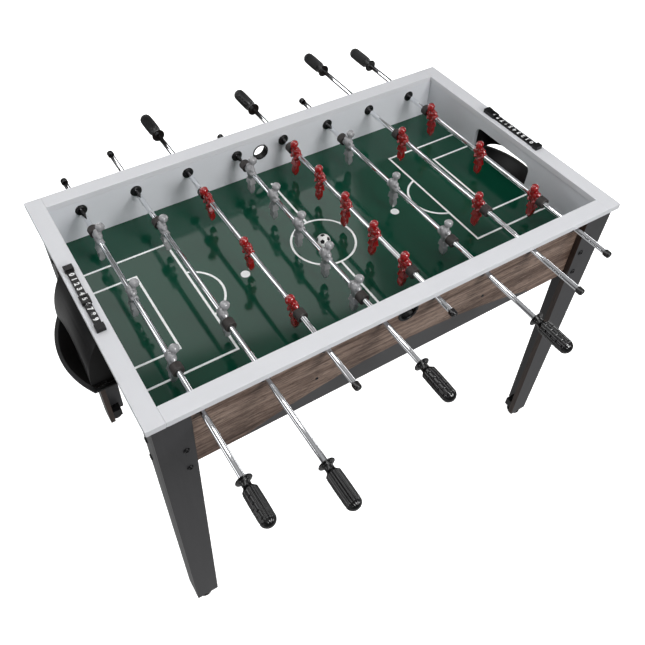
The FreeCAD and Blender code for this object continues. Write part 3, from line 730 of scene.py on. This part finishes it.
def man_mesh():
    """Player of one moulding, facing +X, rod axis along Y; built in millimetres, handed out in metres."""
    bm = bmesh.new()
    man_head(bm)
    man_body(bm)
    mesh = bpy.data.meshes.new("man")
    bm.to_mesh(mesh)
    bm.free()
    blank = bpy.data.objects.new("man_blank", mesh)
    bpy.context.scene.collection.objects.link(blank)
    skin = blank.modifiers.new("skin", "REMESH")
    skin.mode = "VOXEL"
    skin.voxel_size = 0.62
    ease = blank.modifiers.new("ease", "SMOOTH")
    ease.factor = 0.5
    ease.iterations = 2
    thin = blank.modifiers.new("thin", "DECIMATE")
    thin.ratio = 0.22
    bpy.context.view_layer.update()
    depsgraph = bpy.context.evaluated_depsgraph_get()
    done = bpy.data.meshes.new_from_object(blank.evaluated_get(depsgraph))
    bpy.data.objects.remove(blank)
    done.transform(Matrix.Scale(MM, 4))
    return done


def men(k, team, turn, player):
    """The men of one rod, standing for the CAD men of that rod."""
    node = f"rod_{k}_men"
    lo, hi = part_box(f"rod_{k}_tube")
    lean = Matrix.Rotation(math.radians(-turn), 4, "Y")
    facing = Matrix.Rotation(0 if team == "grey" else math.pi, 4, "Z")
    for i, (low, high) in enumerate(sorted(islands(node), key=lambda b: b[0].y), start=1):
        spot = Vector(((lo.x + hi.x) / 2, (low.y + high.y) / 2 * MM, (lo.z + hi.z) / 2))
        mesh = placed(player.copy(), Matrix.Translation(spot) @ lean @ facing)
        piece = add_piece(f"rod_{k}_man_{i}", mesh, FINISH[team], f"rod_{k}_spin", 60)
        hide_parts(node)


# ---------------------------------------------------------------- ball

# Rings of one ball panel: how far in from its rim, and the radius as a share of the ball's.
PANEL_RINGS = ((0.0, 0.975), (0.03, 0.978), (0.07, 0.998), (0.14, 1.0), (0.4, 1.0), (0.7, 1.0))
RIM_STEPS = 6


def ball():
    """White ball of 32 panels with a sunk seam; the twelve small panels are black."""
    lo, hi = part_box("ball")
    centre, radius = (lo + hi) / 2, (hi.x - lo.x) / 2
    core = bmesh.new()
    bmesh.ops.create_icosphere(core, subdivisions=1, radius=1)
    core.verts.ensure_lookup_table()
    cells = []
    for vertex in core.verts:
        around = [e.other_vert(vertex).co for e in vertex.link_edges]
        cells.append((vertex.co.normalized(), [vertex.co.lerp(p, 1 / 3) for p in around], 1))
    for face in core.faces:
        ring = []
        for a in face.verts:
            for b in face.verts:
                if a is not b:
                    ring.append(a.co.lerp(b.co, 1 / 3))
        cells.append((face.calc_center_median().normalized(), ring, 0))
    core.free()
    verts, faces, colours = [], [], []
    for middle, ring, colour in cells:
        side = middle.orthogonal().normalized()
        other = middle.cross(side)
        ring.sort(key=lambda p: math.atan2(p.dot(other), p.dot(side)))
        rim = []
        for a, b in zip(ring, ring[1:] + ring[:1]):
            rim += [a.lerp(b, i / RIM_STEPS).normalized() for i in range(RIM_STEPS)]
        rings = []
        for share, depth in PANEL_RINGS:
            first = len(verts)
            verts += [p.lerp(middle, share).normalized() * radius * depth for p in rim]
            rings.append(range(first, len(verts)))
        verts.append(middle * radius)
        tip = len(verts) - 1
        count = len(rim)
        for outer, inner in zip(rings, rings[1:]):
            for i in range(count):
                j = (i + 1) % count
                faces.append((outer[i], outer[j], inner[j], inner[i]))
                colours.append(colour)
        for i in range(count):
            faces.append((rings[-1][i], rings[-1][(i + 1) % count], tip))
            colours.append(colour)
    mesh = bpy.data.meshes.new("ball_panels")
    mesh.from_pydata(verts, [], faces)
    mesh.materials.append(FINISH["white"])
    mesh.materials.append(FINISH["black"])
    mesh.polygons.foreach_set("material_index", colours)
    tilt = Matrix.Rotation(math.radians(18), 4, "Z") @ Matrix.Rotation(math.radians(-14), 4, "X")
    placed(mesh, Matrix.Translation(centre) @ tilt)
    piece = add_piece("ball_panels", mesh, FINISH["white"], "ball", 80)
    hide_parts("ball")


# ---------------------------------------------------------------- fittings

def bushings():
    """Rod bushing: stepped flange, barrel through the board and rounded lip, one each side of the board."""
    for i, (lo, hi) in enumerate(islands("rod_bushings"), start=1):
        long = hi.y - lo.y
        profile = rounded([
            (6.7, 0), (10.2, 0, 0.5), (11.4, 0.9, 0.5), (13.9, 0.9, 0.6),
            (15, 2.2, 0.7), (15, 3.0, 0.2), (11, 3.2, 0.1),
            (11, long - 3.2, 0.1), (15, long - 3, 0.2), (15, long - 2.2, 0.7), (13.9, long - 0.9, 0.6),
            (11.4, long - 0.9, 0.5), (10.2, long, 0.5), (6.7, long), (6.7, 0),
        ], 0.5, 3)
        mesh = lathe(f"bushing_{i}", profile, 48)
        start = Vector(((lo.x + hi.x) / 2, lo.y, (lo.z + hi.z) / 2)) * MM
        placed(mesh, Matrix.Translation(start) @ along("Y"))
        piece = add_piece(f"rod_bushing_{i}", mesh, FINISH["black"], "cabinet")
        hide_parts("rod_bushings")


def entry_sleeves():
    """Ball entry: flange outside, smooth throat and a short lip standing into the well."""
    for i, (lo, hi) in enumerate(islands("ball_entry_sleeves"), start=1):
        long = hi.y - lo.y
        profile = rounded([
            (19.5, 4, 0), (19.9, 1.2, 1.5), (21.5, 0, 1.2), (25.8, 0, 0.9),
            (27, 1.4, 0.7), (27, 2.5, 0.1), (22.4, 2.5, 0.1), (22.4, long - 0.6, 0.5),
            (21.8, long, 0.5), (19.9, long, 0.5), (19.5, long - 0.8, 0.4), (19.5, 4),
        ], 0.4, 4)
        sense = 1 if lo.y < 0 else -1
        start = Vector(((lo.x + hi.x) / 2, lo.y if sense > 0 else hi.y, (lo.z + hi.z) / 2)) * MM
        mesh = placed(lathe(f"sleeve_{i}", profile, 72), Matrix.Translation(start) @ along("Y", sense))
        piece = add_piece(f"ball_entry_{i}", mesh, FINISH["gloss"], "cabinet")
        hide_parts("ball_entry_sleeves")


# Fasteners in millimetres. Anything shallower than NUT_DEPTH is a nut inside a leg and faces inward.
NUT_DEPTH = 6.0
HEAD_DEPTH = 3
SEXTANT = math.pi / 3


def fasteners():
    """Dished heads with a hexagon socket where the CAD has bolts, nuts and screws."""
    for i, (lo, hi) in enumerate(islands("cabinet_fasteners"), start=1):
        size = hi - lo
        axis = "Y" if abs(size.x - size.z) < 0.5 else "X"
        depth = size.x if axis == "X" else size.y
        middle = (lo + hi) / 2
        away = middle.x if axis == "X" else middle.y
        sense = 1 if away > 0 else -1
        if depth < NUT_DEPTH:
            sense = -sense
        radius = size.z / 2

        def socket(angle, height, r, radius=radius, depth=depth):
            if height < depth - 0.9 or r > radius * 0.55:
                return r
            sector = angle % SEXTANT - SEXTANT / 2
            return r * math.cos(SEXTANT / 2) / math.cos(sector)

        shank = radius * 0.45
        under = depth - HEAD_DEPTH
        profile = rounded([
            (0, 0), (shank, 0, 0.3), (shank, max(under, 0.2), 0.1), (radius, max(under, 0.3), 0.2),
            (radius, depth - 1.4, 1.2), (radius * 0.72, depth - 0.1, 1.2), (radius * 0.5, depth - 0.1, 0.1),
        ], 0.3, 3)
        profile += [(radius * 0.46, depth - 0.3), (radius * 0.42, depth - 2.2), (0, depth - 2.4)]
        mesh = lathe(f"head_{i}", profile, 36, socket)
        start = middle.copy()
        if axis == "X":
            start.x = lo.x if sense > 0 else hi.x
        else:
            start.y = lo.y if sense > 0 else hi.y
        placed(mesh, Matrix.Translation(start * MM) @ along(axis, sense))
        piece = add_piece(f"fastener_{i}", mesh, FINISH["screw"], "cabinet")
        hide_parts("cabinet_fasteners")


# Thread of a levelling foot in millimetres.
THREAD_START = 16.5
THREAD_PITCH = 1.2
THREAD_CREST = 3.9
THREAD_ROOT = 3.35


def levellers():
    """Screw-in levelling foot: rubber pad, domed hub and ringed stem."""
    for corner in ("near_left", "near_right", "far_left", "far_right"):
        node = f"leveller_{corner}"
        lo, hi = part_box(node)
        tall = (hi.z - lo.z) / MM
        profile = rounded([
            (0, 0.6), (16.5, 0.6, 0.2), (17.2, 0, 0.3), (19.2, 0, 0.8), (20, 1.6, 0.6), (20, 4.6, 1.0),
            (18.6, 6, 0.8), (12.6, 6.3, 0.6), (11, 7.5, 0.6), (10.6, 9.6, 1.6), (8, 11, 1.0),
            (4.6, 11, 0.3), (4.6, 16, 0.1),
        ], 0.4, 3)
        height = THREAD_START
        while height < tall - 1.5:
            profile += [(THREAD_CREST, height), (THREAD_ROOT, height + THREAD_PITCH / 2)]
            height += THREAD_PITCH
        profile += [(3.6, tall - 0.8), (3.0, tall - 0.1), (0, tall - 0.1)]
        mesh = lathe(f"leveller_{corner}", profile, 48)
        placed(mesh, Matrix.Translation(((lo.x + hi.x) / 2, (lo.y + hi.y) / 2, lo.z)))
        piece = add_piece(f"foot_{corner}", mesh, FINISH["foot"], node)
        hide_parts(node)


# Score digits in millimetres. TRACK_BAR is the height of the bar that carries them.
FIRST_DIGIT = 74.0
DIGIT_STEP = 16.0
DIGIT_TALL = 15.0
DIGIT_SWELL = 0.7
TRACK_BAR = 6.0


def digit_mesh(digit):
    """One raised digit in the plain built-in typeface."""
    text = bpy.data.curves.new("digit", "FONT")
    text.body = str(digit)
    text.size = DIGIT_TALL * MM
    text.offset = DIGIT_SWELL * MM
    text.extrude = 0.1 * MM
    text.align_x = "CENTER"
    text.align_y = "CENTER"
    holder = bpy.data.objects.new("digit", text)
    bpy.context.scene.collection.objects.link(holder)
    bpy.context.view_layer.update()
    depsgraph = bpy.context.evaluated_depsgraph_get()
    mesh = bpy.data.meshes.new_from_object(holder.evaluated_get(depsgraph))
    bpy.data.objects.remove(holder)
    return mesh


def digits():
    """Digits 0 to 9 along each score track, read from that end of the table."""
    for end in ("left", "right"):
        sense = 1 if end == "left" else -1
        lo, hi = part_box(f"score_track_{end}")
        bar_top = lo.z + TRACK_BAR * MM
        turn = Matrix.Rotation(math.radians(-90 * sense), 4, "Z")
        meshes = []
        for digit in range(10):
            across = sense * (FIRST_DIGIT - DIGIT_STEP * digit) * MM
            spot = Vector(((lo.x + hi.x) / 2, across, bar_top + 0.1 * MM))
            meshes.append(placed(digit_mesh(digit), Matrix.Translation(spot) @ turn))
        mesh = merged(f"score_digits_{end}", meshes)
        mesh.materials.clear()
        add_piece(f"score_digits_{end}", mesh, FINISH["ink"], "cabinet")


# ---------------------------------------------------------------- studio and camera

# Sky from straight down (0) to straight up (1): share and grey level.
SKY = ((0.0, 0.15), (0.44, 0.07), (0.60, 0.08), (1.0, 0.38))

# Soft boxes in metres: name, spot, aim, width and height, radiance.
LAMPS = (
    ("back_box", (0.62, 2.75, 3.70), (0.1, 0, 0.8), (3.0, 1.25), 1.10),
    ("front_box", (0.7, -3.0, 2.5), (0.2, 0, 0.7), (1.5, 1.2), 13.0),
    ("top_box", (-0.1, -0.6, 3.6), (-0.1, -0.5, 0.8), (1.4, 0.45), 7.0),
    ("strip_box", (-1.5, 0.9, 3.1), (0, 0, 0.8), (0.9, 3.4), 1.7),
    ("rear_box", (-0.4, 3.6, 1.3), (0, 0, 0.5), (2.4, 1.3), 4.2),
    ("left_box", (-3.7, -0.1, 1.2), (0, 0, 0.5), (2.0, 1.2), 2.0),
    ("right_box", (3.7, 0.4, 1.2), (0, 0, 0.5), (2.0, 1.2), 3.4),
    ("floor_box", (0, 0, -0.002), (0, 0, 1), (3.4, 3.0), 0.27),
)


def shell(name, verts, faces):
    """A plain glowing white surface behind the object, seen by the camera but not by the object."""
    mesh = bpy.data.meshes.new(name)
    mesh.from_pydata(verts, [], faces)
    obj = bpy.data.objects.new(name, mesh)
    bpy.context.scene.collection.objects.link(obj)
    paint = Paint(f"{name}_white", 0.9)
    paint.colour(paint.mix(paint.noise(1, 2), (0.80, 0.80, 0.80, 1), (0.78, 0.78, 0.78, 1)))
    paint.shader.inputs["Emission Color"].default_value = (1, 1, 1, 1)
    paint.shader.inputs["Emission Strength"].default_value = 1.0
    mesh.materials.append(paint.material)
    obj.visible_shadow = False
    obj.visible_diffuse = False
    obj.visible_glossy = False


def level_square(half, z):
    """Corners of a square at one height."""
    return [(-half, -half, z), (half, -half, z), (half, half, z), (-half, half, z)]


def surroundings():
    """White floor, and a white backdrop of four walls and a ceiling."""
    shell("floor", level_square(18, -0.001), [(0, 1, 2, 3)])
    reach = 17
    shell("backdrop", level_square(reach, -0.5) + level_square(reach, 2 * reach), [
        (0, 1, 5, 4), (1, 2, 6, 5), (2, 3, 7, 6), (3, 0, 4, 7), (4, 5, 6, 7),
    ])


def sky():
    """Dim grey world, lightest overhead."""
    world = bpy.data.worlds.new("studio")
    bpy.context.scene.world = world
    world.use_nodes = True
    nodes = world.node_tree.nodes
    links = world.node_tree.links
    place = nodes.new("ShaderNodeTexCoord")
    split = nodes.new("ShaderNodeSeparateXYZ")
    ramp = nodes.new("ShaderNodeValToRGB")
    spread = nodes.new("ShaderNodeMapRange")
    spread.inputs["From Min"].default_value = -1
    links.new(place.outputs["Generated"], split.inputs[0])
    links.new(split.outputs["Z"], spread.inputs["Value"])
    links.new(spread.outputs["Result"], ramp.inputs[0])
    cells = ramp.color_ramp.elements
    while len(cells) < len(SKY):
        cells.new(0.5)
    for cell, (spot, level) in zip(cells, SKY):
        cell.position = spot
        cell.color = (level, level, level * 1.01, 1)
    links.new(ramp.outputs[0], nodes["Background"].inputs["Color"])


def soft_boxes():
    """Area lamps above, behind, in front, beside and below the table."""
    for name, spot, aim, size, radiance in LAMPS:
        light = bpy.data.lights.new(name, "AREA")
        light.shape = "RECTANGLE"
        light.size, light.size_y = size
        light.energy = radiance * math.pi * size[0] * size[1]
        lamp = bpy.data.objects.new(name, light)
        bpy.context.scene.collection.objects.link(lamp)
        lamp.location = spot
        lamp.rotation_mode = "QUATERNION"
        lamp.rotation_quaternion = (Vector(aim) - Vector(spot)).to_track_quat("-Z", "Y")


EYE = (-0.716023, -1.054027, 1.98684)


def camera():
    """The view of the reference picture."""
    azimuth, elevation, roll = (math.radians(a) for a in (32.695, -48.505, 1.408))
    ahead = Vector((
        math.sin(azimuth) * math.cos(elevation),
        math.cos(azimuth) * math.cos(elevation),
        math.sin(elevation),
    ))
    level = ahead.cross(AXES["Z"]).normalized()
    right = level * math.cos(roll) + level.cross(ahead) * math.sin(roll)
    up = right.cross(ahead)
    data = bpy.data.cameras.new("view")
    data.lens = 39.06
    data.sensor_width = 36
    data.shift_x = 0.02134
    data.shift_y = -0.03189
    eye = bpy.data.objects.new("view", data)
    bpy.context.scene.collection.objects.link(eye)
    facing = Matrix((right, up, -ahead)).transposed().to_4x4()
    eye.matrix_world = Matrix.Translation(EYE) @ facing
    bpy.context.scene.camera = eye


# ---------------------------------------------------------------- build

boards()
player, grip, cap, ring = man_mesh(), grip_mesh(), cap_mesh(), bumper_mesh()
for number, (team, turn, roll) in enumerate(RODS, start=1):
    tube(number)
    bumpers(number, ring)
    hand_ends(number, roll, grip, cap)
    men(number, team, turn, player)
for mesh in (player, grip, cap, ring):
    bpy.data.meshes.remove(mesh)
ball()
bushings()
entry_sleeves()
fasteners()
levellers()
digits()
surroundings()
sky()
soft_boxes()
bpy.context.scene.view_settings.view_transform = "Standard"
camera()
